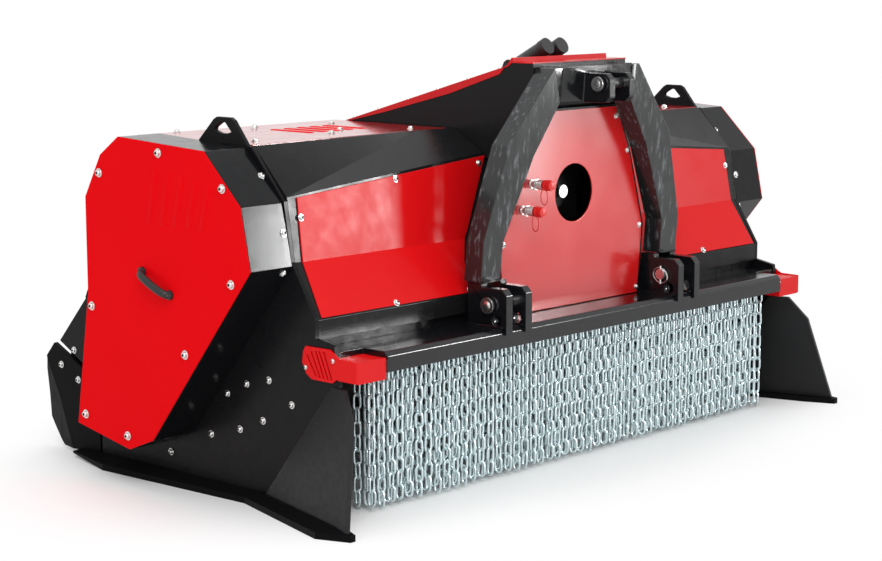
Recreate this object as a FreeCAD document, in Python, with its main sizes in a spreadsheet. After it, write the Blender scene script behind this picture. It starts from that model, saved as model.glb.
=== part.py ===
import FreeCAD, Part
import math
import os
import Sketcher

# Tractor stone crusher, three-point mounted, standing on its skids.
# Millimetres. X runs across the machine, Y runs rearward (the hitch faces -Y), Z is up.
# Every y in the tables is counted from the tips of the front wings;
# each finished piece is then moved forward by half_depth, so the model is centred on the floor.

doc = FreeCAD.newDocument("StoneCrusher")
sheet = doc.addObject("Spreadsheet::Sheet", "Sizes")
sheet.Label = "Sizes"

SIZES = [
    ("side_out", 1165, "outer face of a side plate"),
    ("side_thick", 15, "thickness of a side plate"),
    ("side_rear", 1551, "rear corner of a side plate"),
    ("cheek_reach", 94, "reach of a rear cheek behind the side plate"),
    ("casing_wide", 167, "width of a drive casing"),
    ("cover_thick", 4, "thickness of an end cover"),
    ("deck_top", 1110, "top of the deck covers"),
    ("deck_thick", 8, "thickness of the deck"),
    ("panel_thick", 5, "thickness of a red panel"),
    ("frame_thick", 10, "thickness of the front frame sheet"),
    ("skid_wide", 181, "reach of a skid beyond the side plate"),
    ("skid_sole", 20, "thickness of a skid's sole"),
    ("beam_top", 513, "top of the front beam"),
    ("beam_low", 450, "underside of the front beam"),
    ("beam_front", 100, "front face of the front beam"),
    ("beam_back", 300, "back face of the front beam"),
    ("beam_gap", 105, "room for a bracket between the front beam's end and the side plate"),
    ("tower_half", 243, "half width of the tower"),
    ("tower_wall", 12, "thickness of a tower wall"),
    ("centre_front", 242, "front face of the centre panel"),
    ("mast_top", 1324, "top of the mast"),
    ("mast_depth", 74, "depth of a mast leg"),
    ("top_pin_y", 84, "centre of the top link pin"),
    ("top_pin_z", 1269, "centre of the top link pin"),
    ("top_pin_r", 15.9, "radius of the top link pin"),
    ("link_pin_y", 162, "centre of a lower link pin"),
    ("link_pin_z", 583, "centre of a lower link pin"),
    ("link_pin_r", 18.3, "radius of a lower link pin"),
    ("spare_y", 132, "centre of the free lower link hole"),
    ("spare_z", 535, "centre of the free lower link hole"),
    ("rotor_y", 930, "rotor axis"),
    ("rotor_z", 330, "rotor axis"),
    ("drum_r", 205, "radius of the rotor drum"),
    ("drum_gap", 38, "gap between the rotor drum and a side plate"),
    ("tip_r", 290, "radius over the teeth"),
    ("chamber_r", 322, "inner radius of the chamber shell"),
    ("hinge_y", 1087, "hood hinge axis"),
    ("hinge_z", 1054, "hood hinge axis"),
    ("hood_gap", 30, "gap between the rear hood and a side plate"),
    ("shaft_r", 22, "radius of the input shaft"),
    ("shaft_z", 896, "height of the input shaft"),
    ("chain_low", 26, "lowest chain link"),
    ("cyl_gap", 38, "half the distance between the hood cylinders"),
    ("cyl_r", 27, "radius of a cylinder barrel"),
    ("cyl_tilt", 28.32, "slope of the hood cylinders in degrees"),
    ("cap_y", 330, "front end of the hood cylinders"),
    ("cap_z", 1386, "front end of the hood cylinders"),
]


class Size:
    """A number together with the spreadsheet expression that gives it."""

    def __init__(self, number, text):
        self.number = number
        self.text = text

    def __add__(self, other):
        return Size(self.number + num(other), "(%s + %s)" % (self.text, txt(other)))

    def __radd__(self, other):
        return Size(num(other) + self.number, "(%s + %s)" % (txt(other), self.text))

    def __sub__(self, other):
        return Size(self.number - num(other), "(%s - %s)" % (self.text, txt(other)))

    def __rsub__(self, other):
        return Size(num(other) - self.number, "(%s - %s)" % (txt(other), self.text))

    def __mul__(self, other):
        return Size(self.number * num(other), "(%s * %s)" % (self.text, txt(other)))

    def __rmul__(self, other):
        return Size(num(other) * self.number, "(%s * %s)" % (txt(other), self.text))

    def __neg__(self):
        return Size(-self.number, "(0 - %s)" % self.text)


def num(value):
    return value.number if isinstance(value, Size) else float(value)


def txt(value):
    return value.text if isinstance(value, Size) else "(%.6f)" % value


class Table:
    pass


S = Table()
for row, (alias, value, meaning) in enumerate(SIZES, start=1):
    sheet.set("A%d" % row, meaning)
    sheet.set("B%d" % row, str(value))
    sheet.setAlias("B%d" % row, alias)
    setattr(S, alias, Size(float(value), "Sizes.%s" % alias))
doc.recompute()

V = FreeCAD.Vector
AXES = {
    "YZ": (V(0, 1, 0), V(0, 0, 1), V(1, 0, 0), "x"),
    "XZ": (V(1, 0, 0), V(0, 0, 1), V(0, -1, 0), "y"),
    "XY": (V(1, 0, 0), V(0, 1, 0), V(0, 0, 1), "z"),
}
GROW = {"YZ": V(1, 0, 0), "XZ": V(0, 1, 0), "XY": V(0, 0, 1)}


def put(obj, prop, value):
    """Sets a property, and binds it where the value comes from the spreadsheet."""
    if "." not in prop:
        setattr(obj, prop, num(value))
    if isinstance(value, Size):
        obj.setExpression(prop, value.text)


def place(obj, x, y, z, rotation=None):
    rotation = rotation or FreeCAD.Rotation()
    obj.Placement = FreeCAD.Placement(V(num(x), num(y), num(z)), rotation)
    for axis, value in zip("xyz", (x, y, z)):
        if isinstance(value, Size):
            obj.setExpression("Placement.Base.%s" % axis, value.text)


def new(kind, label):
    obj = doc.addObject(kind, label)
    obj.Label = label
    return obj


def fill_sketch(sketch, points):
    """Draws a closed polygon whose corners are each held by two dimensions."""
    flat = [V(num(u), num(v), 0) for u, v in points]
    count = len(flat)
    lines = [Part.LineSegment(flat[i], flat[(i + 1) % count]) for i in range(count)]
    sketch.addGeometry(lines, False)
    rules = [Sketcher.Constraint("Coincident", i, 2, (i + 1) % count, 1) for i in range(count)]
    for i, point in enumerate(flat):
        rules.append(Sketcher.Constraint("DistanceX", -1, 1, i, 1, point.x))
        rules.append(Sketcher.Constraint("DistanceY", -1, 1, i, 1, point.y))
    sketch.addConstraint(rules)
    for i, (u, v) in enumerate(points):
        for step, (mark, value) in enumerate((("u", u), ("v", v))):
            if isinstance(value, Size):
                index = count + 2 * i + step
                sketch.renameConstraint(index, "%s%d" % (mark, i))
                sketch.setExpression("Constraints.%s%d" % (mark, i), value.text)


def outline(label, plane, points, at):
    sketch = new("Sketcher::SketchObject", label)
    xdir, ydir, zdir, axis = AXES[plane]
    rotation = FreeCAD.Rotation(xdir, ydir, zdir, "ZXY")
    spot = {"x": (at, 0, 0), "y": (0, at, 0), "z": (0, 0, at)}[axis]
    place(sketch, *spot, rotation=rotation)
    fill_sketch(sketch, points)
    return sketch


def prism(label, plane, points, start, end):
    """A plate: an outline in a plane, thick from start to end across it."""
    base = outline(label + "_outline", plane, points, start)
    solid = new("Part::Extrusion", label)
    solid.Base = base
    solid.DirMode = "Custom"
    solid.Dir = GROW[plane]
    put(solid, "LengthFwd", end - start)
    solid.Solid = True
    return solid


def box(label, x0, x1, y0, y1, z0, z1):
    solid = new("Part::Box", label)
    put(solid, "Length", x1 - x0)
    put(solid, "Width", y1 - y0)
    put(solid, "Height", z1 - z0)
    place(solid, x0, y0, z0)
    return solid


TURNS = {
    "x": FreeCAD.Rotation(V(0, 1, 0), 90),
    "y": FreeCAD.Rotation(V(1, 0, 0), -90),
    "z": FreeCAD.Rotation(),
}


def rod(label, axis, radius, x, y, z, length):
    """A cylinder that starts at a point and runs along a positive axis."""
    solid = new("Part::Cylinder", label)
    put(solid, "Radius", radius)
    put(solid, "Height", length)
    place(solid, x, y, z, TURNS[axis])
    return solid


def tilted(label, radius, x, along, length):
    """A cylinder on the line of the hood cylinders, starting some way along it."""
    solid = new("Part::Cylinder", label)
    put(solid, "Radius", radius)
    put(solid, "Height", length)
    turn = math.radians(S.cyl_tilt.number)
    solid.Placement = FreeCAD.Placement(
        V(num(x), S.cap_y.number + num(along) * math.cos(turn), S.cap_z.number - num(along) * math.sin(turn)),
        FreeCAD.Rotation(V(1, 0, 0), -90 - S.cyl_tilt.number),
    )
    solid.setExpression("Placement.Base.x", txt(x))
    solid.setExpression("Placement.Base.y", "Sizes.cap_y + %s * cos(Sizes.cyl_tilt * 1 deg)" % txt(along))
    solid.setExpression("Placement.Base.z", "Sizes.cap_z - %s * sin(Sizes.cyl_tilt * 1 deg)" % txt(along))
    solid.setExpression("Placement.Rotation.Angle", "90 + Sizes.cyl_tilt")
    solid.setExpression("Placement.Rotation.Axis.x", "-1")
    return solid


def cut(label, base, tool):
    result = new("Part::Cut", label)
    result.Base = base
    result.Tool = tool
    return result


def common(label, first, second):
    result = new("Part::MultiCommon", label)
    result.Shapes = [first, second]
    return result


def fuse(label, shapes):
    result = new("Part::MultiFuse", label)
    result.Shapes = shapes
    return result


def mirror(label, source):
    result = new("Part::Mirroring", label)
    result.Source = source
    result.Normal = V(1, 0, 0)
    result.Base = V(0, 0, 0)
    return result


def pair(label, source):
    return [source, mirror(label + "_other", source)]


def loft(label, sections):
    result = new("Part::Loft", label)
    result.Sections = sections
    result.Solid = True
    result.Ruled = True
    return result


NODES = {}


def node(name, shapes):
    """Collects the finished shapes of one named piece and moves them to the model's frame."""
    holder = new("Part::Compound", name)
    holder.Links = shapes
    holder.setExpression("Placement.Base.y", txt(-half_depth))
    NODES[name] = holder
    return holder


# Widths and lengths that follow from the sizes

side_in = S.side_out - S.side_thick
casing_out = S.side_out + S.casing_wide
skid_out = S.side_out + S.skid_wide
beam_half = side_in - S.beam_gap
chain_half = beam_half + 1
drum_half = side_in - S.drum_gap
hood_half = side_in - S.hood_gap
rear_end = S.side_rear + S.cheek_reach
half_depth = rear_end * 0.5

# Side plates

SIDE_OUTLINE = [
    (186, 409),
    (205, 530),
    (286, 545),
    (286, 606),
    (387, 767),
    (418, 949),
    (562, S.deck_top - 3),
    (1112, S.deck_top - 3),
    (1155, 1040),
    (1402, 545),
    (S.side_rear, 383),
    (1433, 323),
    (1330, 275),
    (1330, S.skid_sole),
    (517, S.skid_sole),
    (219, 405),
]
side_blank = prism("side_blank", "YZ", SIDE_OUTLINE, side_in, S.side_out)
bearing = rod("bearing_housing", "x", 130, S.side_out - S.side_thick - 20, S.rotor_y, S.rotor_z, 20)
bearing_bore = rod("bearing_bore", "x", 60.05, S.side_out - S.side_thick - 25, S.rotor_y, S.rotor_z, 25)
side_solid = fuse("side_with_bearing", [side_blank, bearing])
side_plate = cut("side_plate", side_solid, bearing_bore)
node("side_plate_right", [side_plate])
node("side_plate_left", [mirror("side_plate_mirror", side_plate)])

# Flared front wings

WING_STATIONS = [
    # height, fold y, tip x, tip y
    (S.skid_sole, 522, S.side_out + 138, 22),
    (329, 282.1, S.side_out + 54.7, 84),
    (409, 220, S.side_out + 19.3, 150),
]
wing_sections = []
for index, (height, fold_y, tip_x, tip_y) in enumerate(WING_STATIONS):
    corners = [
        (S.side_out, fold_y),
        (tip_x, tip_y),
        (tip_x - 15, tip_y - 4),
        (S.side_out - 15, fold_y - 4),
    ]
    wing_sections.append(outline("wing_section_%d" % index, "XY", corners, height))
wing = loft("wing", wing_sections)
node("wings", pair("wing", cut("wing_trim", wing, side_blank)))

# Skids

SKID_STATIONS = [
    # y, inner x, outer x, top of the slope x, top of the slope z
    (0, S.side_out + 119, S.side_out + 139, S.side_out + 138, 22),
    (106, S.side_out + 75, skid_out, S.side_out + 116, 30),
    (557, side_in - 40, skid_out - 128, S.side_out + 3, 31),
    (1215, side_in - 40, skid_out - 90, S.side_out + 3, 28),
    (1440, side_in - 40, skid_out - 140, S.side_out + 3, 24),
]
sole_outer = [(outer, y) for y, inner, outer, slope_x, slope_z in SKID_STATIONS]
sole_inner = [(inner, y) for y, inner, outer, slope_x, slope_z in SKID_STATIONS]
sole_blank = prism("sole_blank", "XY", sole_outer + list(reversed(sole_inner)), 0, S.skid_sole)
sole_rise = prism("sole_rise", "YZ", [(1215, 0), (1215, -5), (1445, -5), (1445, 14)], side_in - 50, skid_out)
sole = cut("sole", sole_blank, sole_rise)
strip_sections = []
for index, (y, inner, outer, slope_x, slope_z) in enumerate(SKID_STATIONS):
    corners = [(outer, S.skid_sole), (slope_x, slope_z), (slope_x - 2, S.skid_sole)]
    strip_sections.append(outline("wear_strip_section_%d" % index, "XZ", corners, y))
wear_strip = loft("wear_strip", strip_sections)
skid_blank = fuse("skid_blank", [sole, wear_strip])
skid = cut("skid", cut("skid_wing_relief", skid_blank, wing), side_blank)
node("skids", pair("skid", skid))

# Drive casings and end covers

CASING_OUTLINE = [
    (585, S.deck_top - 8),
    (993, S.deck_top + 13),
    (1084, 1061),
    (1165, 922),
    (1164, 610),
    (1233, 173),
    (969, 125),
    (851, 172),
    (817, 214),
    (383, 754),
    (424, 946),
]


def shrink(points, amount, centre):
    """Moves every corner towards a centre, for the hollow of a casing."""
    moved = []
    for u, v in points:
        du = num(u) - centre[0]
        dv = num(v) - centre[1]
        reach = math.hypot(du, dv)
        moved.append((u - amount * du / reach, v - amount * dv / reach))
    return moved


casing_block = prism("casing_block", "YZ", CASING_OUTLINE, S.side_out, casing_out)
casing_hollow = prism(
    "casing_hollow", "YZ", shrink(CASING_OUTLINE, 14, (800, 660)), S.side_out + 12, casing_out + 1
)
casing = cut("casing", casing_block, casing_hollow)
node("drive_casings", pair("casing", casing))

end_cover = prism("end_cover", "YZ", CASING_OUTLINE, casing_out, casing_out + S.cover_thick)
node("end_covers", pair("end_cover", end_cover))

# Cover handles

HANDLE_OUTLINE = [
    (-86, 0), (-86, 12), (-64, 36), (64, 36), (86, 12), (86, 0), (58, 0), (52, 20), (-52, 20), (-58, 0),
]
handle_sketch = new("Sketcher::SketchObject", "handle_outline")
handle_turn = math.radians(24.6)
handle_along = V(0, math.cos(handle_turn), math.sin(handle_turn))
handle_across = V(0, math.sin(handle_turn), -math.cos(handle_turn))
handle_rotation = FreeCAD.Rotation(handle_along, V(1, 0, 0), handle_along.cross(V(1, 0, 0)), "ZXY")
place(handle_sketch, casing_out + S.cover_thick, 817, 678, rotation=handle_rotation)
fill_sketch(handle_sketch, HANDLE_OUTLINE)
handle = new("Part::Extrusion", "handle")
handle.Base = handle_sketch
handle.DirMode = "Custom"
handle.Dir = handle_along.cross(V(1, 0, 0))
handle.LengthFwd = 11
handle.LengthRev = 11
handle.Solid = True
node("cover_handles", pair("handle", handle))

# Deck and its covers

deck_low = S.deck_top - 4 - S.deck_thick
deck_plate = prism(
    "deck_plate",
    "XY",
    [
        (S.tower_half + 2, 584),
        (side_in, 584),
        (side_in, 1128),
        (S.tower_half + 2, 1128),
    ],
    deck_low,
    S.deck_top - 4,
)
node("deck", pair("deck_plate", deck_plate))
deck_cover = prism(
    "deck_cover",
    "XY",
    [
        (S.tower_half + 16, 590),
        (418, 590),
        (side_in - 2, 572),
        (side_in - 2, 1124),
        (S.tower_half + 16, 1124),
    ],
    S.deck_top - 4,
    S.deck_top,
)
node("deck_covers", pair("deck_cover", deck_cover))

# Lifting eyes

eye_blank = prism(
    "eye_blank",
    "YZ",
    [(578, S.deck_top - 3), (640, S.deck_top + 72), (655, S.deck_top + 80), (718, S.deck_top + 80),
     (733, S.deck_top + 72), (812, S.deck_top - 3)],
    side_in,
    S.side_out,
)
eye_hole = prism(
    "eye_hole",
    "YZ",
    [(652, S.deck_top + 36), (672, S.deck_top + 30), (700, S.deck_top + 30), (728, S.deck_top + 38),
     (724, S.deck_top + 48), (697, S.deck_top + 64), (680, S.deck_top + 64)],
    side_in - 5,
    S.side_out + 5,
)
lifting_eye = cut("lifting_eye", eye_blank, eye_hole)
node("lifting_eyes", pair("lifting_eye", lifting_eye))

# Tower: a flaring front box and two walls that carry the sloping cover

BOX_FRONT = [(225, 1182), (285, 1020), (365, 755), (345, S.beam_top)]
BOX_BACK = [(225, 1182), (225, 1020), (395, 755), (436, S.beam_top)]


def both_sides(half):
    return half + [(-x, z) for x, z in reversed(half)]


box_outer = loft(
    "tower_box_outer",
    [
        outline("tower_box_front", "XZ", both_sides(BOX_FRONT), S.centre_front + 16),
        outline("tower_box_back", "XZ", both_sides(BOX_BACK), 440),
    ],
)
box_inner = loft(
    "tower_box_inner",
    [
        outline("tower_hollow_front", "XZ",
                both_sides([(x - 10, z - 10 if z == 1182 else z) for x, z in BOX_FRONT[:3]] + [(335, S.beam_top + 10)]),
                S.centre_front + 15),
        outline("tower_hollow_back", "XZ",
                both_sides([(x - 10, z - 10 if z == 1182 else z) for x, z in BOX_BACK[:3]] + [(426, S.beam_top + 10)]),
                441),
    ],
)
tower_box = cut("tower_box", box_outer, box_inner)
TOWER_SIDE = [
    (S.centre_front + 18, 1015),
    (S.centre_front + 18, 1183),
    (220, 1300),
    (220, 1336),
    (312, 1336),
    (327, 1324),
    (350, 1316),
    (1100, 1101),
    (1100, deck_low),
    (572, deck_low),
    (452, 1015),
]
tower_wall_right = prism(
    "tower_wall_right", "YZ", TOWER_SIDE, S.tower_half - S.tower_wall, S.tower_half
)
tower_wall_left = mirror("tower_wall_left", tower_wall_right)
tower_head = prism(
    "tower_head",
    "YZ",
    [(S.centre_front + 18, 1183), (220, 1300), (220, 1336), (231, 1336), (231, 1303), (S.centre_front + 29, 1190),
     (440, 1182), (440, 1172)],
    S.tower_wall - S.tower_half,
    S.tower_half - S.tower_wall,
)
node("tower", [fuse("tower_shell", [tower_box, tower_wall_right, tower_wall_left, tower_head])])

# Tower cover with a folded flange on each side and the slot that the hood cylinders pass through

cover_line = [
    (220, 1336), (312, 1336), (327, 1324), (350, 1316), (1100, 1101), (1100, 1105.2), (351.5, 1319.8),
    (330, 1328), (312, 1353), (306, 1353), (303, 1340), (220, 1340),
]
cover_blank = prism("tower_cover_blank", "YZ", cover_line, -S.tower_half - 1.5, S.tower_half + 1.5)
flange_line = [
    (340, 1324), (351.5, 1319.8), (1094, 1107), (1075, 1107), (891, 1148), (585, 1225), (362, 1298),
]
flange = prism("tower_cover_flange", "YZ", flange_line, S.tower_half, S.tower_half + 3)
cover_slot = box("tower_cover_slot", -S.cyl_gap - 38, S.cyl_gap + 38, 405, 745, 1100, 1345)
cover_folded = fuse("tower_cover_folded", [cover_blank] + pair("tower_cover_flange", flange))
node("tower_cover", [cut("tower_cover_plate", cover_folded, cover_slot)])

# Centre panel and its frame

CENTRE = [(227, 1175), (300, 1020), (378, 755), (355, S.beam_top + 2)]
centre_blank = prism("centre_blank", "XZ", both_sides(CENTRE), S.centre_front, S.centre_front + S.panel_thick)
shaft_window = rod("shaft_window", "y", 98, 0, S.centre_front - 5, S.shaft_z, 10 + S.panel_thick)
node("centre_panel", [cut("centre_plate", centre_blank, shaft_window)])
centre_frame_blank = prism(
    "centre_frame_blank",
    "XZ",
    both_sides([(238, 1182), (313, 1020), (392, 755), (370, S.beam_top)]),
    S.centre_front + S.panel_thick,
    S.centre_front + 16,
)
frame_window = rod("frame_window", "y", 106, 0, S.centre_front, S.shaft_z, 30)
node("centre_frame", [cut("centre_frame_plate", centre_frame_blank, frame_window)])

# Front frame sheets, bent twice, and the red panels on them

BEND = [(433, 1040), (418, 949), (387, 765), (286, 600), (286, 540)]


def sheet_profile(front, back):
    """The bent cross-section of a sheet between two depths behind the bend line."""
    near = [(y + front, z) for y, z in BEND]
    far = [(y + back, z) for y, z in reversed(BEND)]
    return near + far


frame_sheet = prism("frame_sheet", "YZ", sheet_profile(0, S.frame_thick), 200, side_in)
frame_shape = prism(
    "frame_shape",
    "XZ",
    [
        (215, 1038), (side_in, 961), (side_in, 540), (300, 540), (300, 755),
    ],
    250,
    480,
)
frame_whole = common("frame_whole", frame_sheet, frame_shape)
frame_boxed = cut("frame_boxed", frame_whole, box_outer)
front_frame = cut("front_frame_plate", frame_boxed, tower_wall_right)
node("front_frames", pair("front_frame", front_frame))

panel_sheet = prism("panel_sheet", "YZ", sheet_profile(-S.panel_thick, 0), 200, side_in)
panel_shape = prism(
    "panel_shape",
    "XZ",
    [(S.tower_half + 3, 1026), (S.side_out - 52, 957), (S.side_out - 43, 767), (S.side_out - 28, 606),
     (446, 606), (441, 694), (370, 798)],
    250,
    480,
)
front_panel = common("front_panel_plate", panel_sheet, panel_shape)
node("front_panels", pair("front_panel", front_panel))

# Faceted shoulders between the front frames, the deck and the tower


def faceted(label, corners, triangles, rim, offset):
    """A folded plate: triangles, the same triangles moved by an offset, and the strips between."""
    front = [V(*corner) for corner in corners]
    back = [corner + V(*offset) for corner in front]
    faces = []
    for skin in (front, back):
        for ids in triangles:
            ring = [skin[i] for i in ids]
            faces.append(Part.Face(Part.makePolygon(ring + ring[:1])))
    for i, first in enumerate(rim):
        second = rim[(i + 1) % len(rim)]
        ring = [front[first], front[second], back[second], back[first]]
        faces.append(Part.Face(Part.makePolygon(ring + ring[:1])))
    solid = Part.Solid(Part.makeShell(faces))
    if solid.Volume < 0:
        solid.reverse()
    piece = new("Part::Feature", label)
    piece.Shape = solid
    piece.Placement = FreeCAD.Placement()
    return piece


deck_n = S.deck_top.number
SHOULDER = [
    (side_in.number, 562, deck_n - 3),
    (side_in.number, 420, 961),
    (418, 580, deck_n),
    (430, 429.8, 1020.3),
    (246, 432.3, 1035.5),
    (246, 562, deck_n),
]
shoulder = faceted(
    "shoulder", SHOULDER, [(0, 1, 2), (1, 3, 2), (2, 3, 4), (2, 4, 5)], [0, 1, 3, 4, 5, 2], (0, 12, 0)
)
shoulder_trim = cut("shoulder_trim", shoulder, front_panel)
shoulder_clear = cut("shoulder_clear", shoulder_trim, deck_plate)
shoulder_last = cut("shoulder_last", shoulder_clear, deck_cover)
node("shoulders", pair("shoulder", shoulder_last))

# Mast: two legs and a head, leaning forward at the top


def lean(z):
    """Depth of the mast's front face at a height."""
    return 144 + (S.mast_top.number - z) * 0.08


LEG = [
    (183, S.mast_top), (223, S.mast_top), (425, 1083), (518, 780), (518, 650),
    (425, 650), (423, 770), (298, 1043), (183, 1212),
]
lean_profile = [
    (lean(1324), S.mast_top),
    (lean(650), 650),
    (lean(650) + S.mast_depth, 650),
    (lean(1324) + S.mast_depth, S.mast_top),
]
lean_slab = prism("lean_slab", "YZ", lean_profile, -560, 560)
leg_shape = prism("leg_shape", "XZ", LEG, 100, 320)
mast_leg_right = common("mast_leg_right_solid", leg_shape, lean_slab)
head_shape = prism("head_shape", "XZ", [(-183, 1212), (183, 1212), (183, S.mast_top), (-183, S.mast_top)], 100, 320)
mast_head = common("mast_head_solid", head_shape, lean_slab)
node("mast_leg_right", [mast_leg_right])
node("mast_leg_left", [mirror("mast_leg_left_solid", mast_leg_right)])
node("mast_head", [mast_head])

# Top link clevis and pin

TOP_EAR = [(42, 1225), (60, 1207), (lean(1207), 1207), (lean(1303), 1303), (60, 1303), (42, 1285)]
top_ear = prism("top_ear_blank", "YZ", TOP_EAR, 38, 66)
top_bore = rod("top_bore", "x", S.top_pin_r + 0.1, -80, S.top_pin_y, S.top_pin_z, 160)
top_ear_bored = cut("top_ear", top_ear, top_bore)
node("top_link_clevis", pair("top_ear", top_ear_bored))
top_pin = fuse(
    "top_pin_solid",
    [
        rod("top_pin_bar", "x", S.top_pin_r, -74, S.top_pin_y, S.top_pin_z, 156),
        rod("top_pin_head", "x", S.top_pin_r + 8, -82, S.top_pin_y, S.top_pin_z, 8),
    ],
)

# Lower link clevises and pins

LOW_EAR = [
    (90, 492), (100, 492), (100, S.beam_top), (256, S.beam_top), (256, 650), (200, 650),
    (196, 638), (108, 638), (90, 620),
]
ear_tools = [
    rod("link_bore", "x", S.link_pin_r + 0.1, 380, S.link_pin_y, S.link_pin_z, 150),
    rod("spare_bore", "x", S.link_pin_r + 0.2, 380, S.spare_y, S.spare_z, 150),
]
ear_bores = new("Part::Compound", "ear_bores")
ear_bores.Links = ear_tools
inner_ear = cut("inner_ear", prism("inner_ear_blank", "YZ", LOW_EAR, 393, 424), ear_bores)
outer_ear = cut("outer_ear", prism("outer_ear_blank", "YZ", LOW_EAR, 488, 518), ear_bores)
node("lower_clevises", pair("inner_ear", inner_ear) + pair("outer_ear", outer_ear))
link_pin = fuse(
    "link_pin_solid",
    [
        rod("link_pin_bar", "x", S.link_pin_r, 378, S.link_pin_y, S.link_pin_z, 146),
        rod("link_pin_head", "x", S.link_pin_r + 8, 524, S.link_pin_y, S.link_pin_z, 9),
    ],
)
node("hitch_pins", [top_pin] + pair("link_pin", link_pin))

# Front beam, apron and red end brackets

BEAM = [
    (S.beam_front, S.beam_low), (S.beam_front, S.beam_top - 13), (S.beam_front + 13, S.beam_top),
    (S.beam_back, S.beam_top), (S.beam_back, S.beam_low),
]
beam = prism("beam_solid", "YZ", BEAM, -beam_half, beam_half)
beam_end = prism(
    "beam_end", "YZ", [(205, S.beam_low), (205, S.beam_top), (S.beam_back, S.beam_top), (S.beam_back, S.beam_low)],
    beam_half, side_in,
)
node("front_beam", [fuse("front_beam_solid", [beam, beam_end, mirror("beam_end_other", beam_end)])])
apron = prism(
    "apron_solid", "YZ",
    [(S.beam_back, S.beam_low), (S.beam_back, 600), (S.beam_back + 10, 600), (S.beam_back + 10, S.beam_low)],
    -side_in, side_in,
)
apron_trim = cut("apron_trim", apron, frame_whole)
apron_clear = cut("apron_clear", apron_trim, mirror("frame_whole_other", frame_whole))
node("apron", [cut("apron_sides", apron_clear, box_outer)])

bracket = prism(
    "bracket", "XY", [(beam_half + 2, 104), (S.side_out, 104), (S.side_out, 205), (beam_half + 2, 205)], 430, 495
)
GUARD = [
    (104, 432), (192, 434), (207, 422), (295, 422), (319, 437), (337, 470),
    (332, 505), (322, 521), (218, 522), (192, 505), (179, 499), (104, 498),
]
guard = prism("guard", "YZ", GUARD, S.side_out, S.side_out + 8)
GUARD_SLOTS = [
    # upper y, upper z, lower y, lower z
    (315, 496, 276, 434),
    (297, 507, 260, 432),
    (277, 511, 243, 431),
    (262, 512, 225, 430),
    (243, 513, 210, 432),
]
slot_tools = []
for index, (top_y, top_z, low_y, low_z) in enumerate(GUARD_SLOTS):
    slot_line = [(top_y - 3, top_z), (top_y + 3, top_z), (low_y + 3, low_z), (low_y - 3, low_z)]
    slot_tools.append(prism("guard_slot_%d" % index, "YZ", slot_line, S.side_out - 2, S.side_out + 10))
guard_slots = new("Part::Compound", "guard_slots")
guard_slots.Links = slot_tools
bent_bracket = fuse("bent_bracket", [cut("bracket_trim", bracket, side_blank), cut("guard_slotted", guard, guard_slots)])
node("beam_brackets", pair("bent_bracket", bent_bracket))

# Rotor chamber: curved shell with a sloping intake roof


def ring(radius, start, end, steps):
    points = []
    for step in range(steps + 1):
        angle = math.radians(start + (end - start) * step / steps)
        points.append((S.rotor_y + radius * math.cos(angle), S.rotor_z + radius * math.sin(angle)))
    return points


shell_inner = ring(S.chamber_r, 25, 135, 11)
shell_outer = ring(S.chamber_r + 12, 135, 25, 11)
chamber = prism(
    "chamber_solid", "YZ",
    shell_inner + [(S.beam_back + 10, 470), (S.beam_back + 10, 482)] + shell_outer,
    -side_in, side_in,
)
node("chamber_shell", [chamber])

# Rear cheeks: a flat plate whose rear strip is bent inwards

CHEEK = [
    (1583, 372), (1436, 306), (1340, 258), (1340, S.skid_sole), (1400, S.skid_sole),
    (1492, 13), (1559, 184), (1627, 312), (1629, 321),
]
cheek_plate = prism("cheek_plate", "YZ", CHEEK, side_in, S.side_out)
CHEEK_STRIP = [
    # depth, height, distance bent inwards
    (1559, 184, 0),
    (1492, 13, 0),
    (rear_end - 82, 13, 16),
    (rear_end - 64, 28, 18),
    (rear_end - 21, 73, 24),
    (rear_end, 100, 26),
    (rear_end - 4, 184, 18),
    (rear_end - 7, 274, 7),
    (1627, 312, 0),
]
strip_corners = [(S.side_out.number - inward, num(y), z) for y, z, inward in CHEEK_STRIP]
strip_fan = [(0, i, i + 1) for i in range(1, len(strip_corners) - 1)]
cheek_strip = faceted("cheek_strip", strip_corners, strip_fan, list(range(len(strip_corners))), (-10, 0, 0))
cheek = fuse("cheek", [cheek_plate, cheek_strip])
node("rear_cheeks", pair("cheek", cut("cheek_trim", cheek, skid)))

# Rear hood with its hinge tubes, lugs and lug pin

HOOD = [(1118, 1062), (1140, 1048), (1392, 540), (1545, 370), (1588, 110)]
hood_profile = HOOD + [(1576, 108), (1534, 366), (1382, 533), (1130, 1036), (1112, 1048)]
hood_plate = prism("hood_plate", "YZ", hood_profile, -hood_half, hood_half)
hood_parts = [hood_plate]
HINGE_TUBES = [
    # start x, length
    (15 - hood_half, 120),
    (-520, 120),
    (400, 120),
    (hood_half - 135, 120),
]
for index, (start, length) in enumerate(HINGE_TUBES):
    hood_parts.append(rod("hinge_tube_%d" % index, "x", 26, start, S.hinge_y, S.hinge_z, length))
    arm = [(1090, 1034), (1090, 1078), (1120, 1060), (1134, 1040), (1120, 1034)]
    hood_parts.append(prism("hinge_arm_%d" % index, "YZ", arm, start, start + length))
hinge_bore = rod("hinge_bore", "x", 15.05, -1200, S.hinge_y, S.hinge_z, 2400)
LUGS = [
    # start x, thickness
    (-74, 12),
    (-12, 24),
    (62, 12),
]
LUG_OUTLINE = [
    (1124, 1058), (1134, 1042), (1100, 1020), (1052, 984), (1026, 988),
    (1018, 1008), (1030, 1026), (1070, 1082), (1095, 1082),
]
for index, (start, thick) in enumerate(LUGS):
    hood_parts.append(prism("hood_lug_%d" % index, "YZ", LUG_OUTLINE, start, start + thick))
LUG_PIN_Y = 1037
LUG_PIN_Z = 1005
lug_bore = rod("lug_bore", "x", 10.05, -120, LUG_PIN_Y, LUG_PIN_Z, 240)
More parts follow.
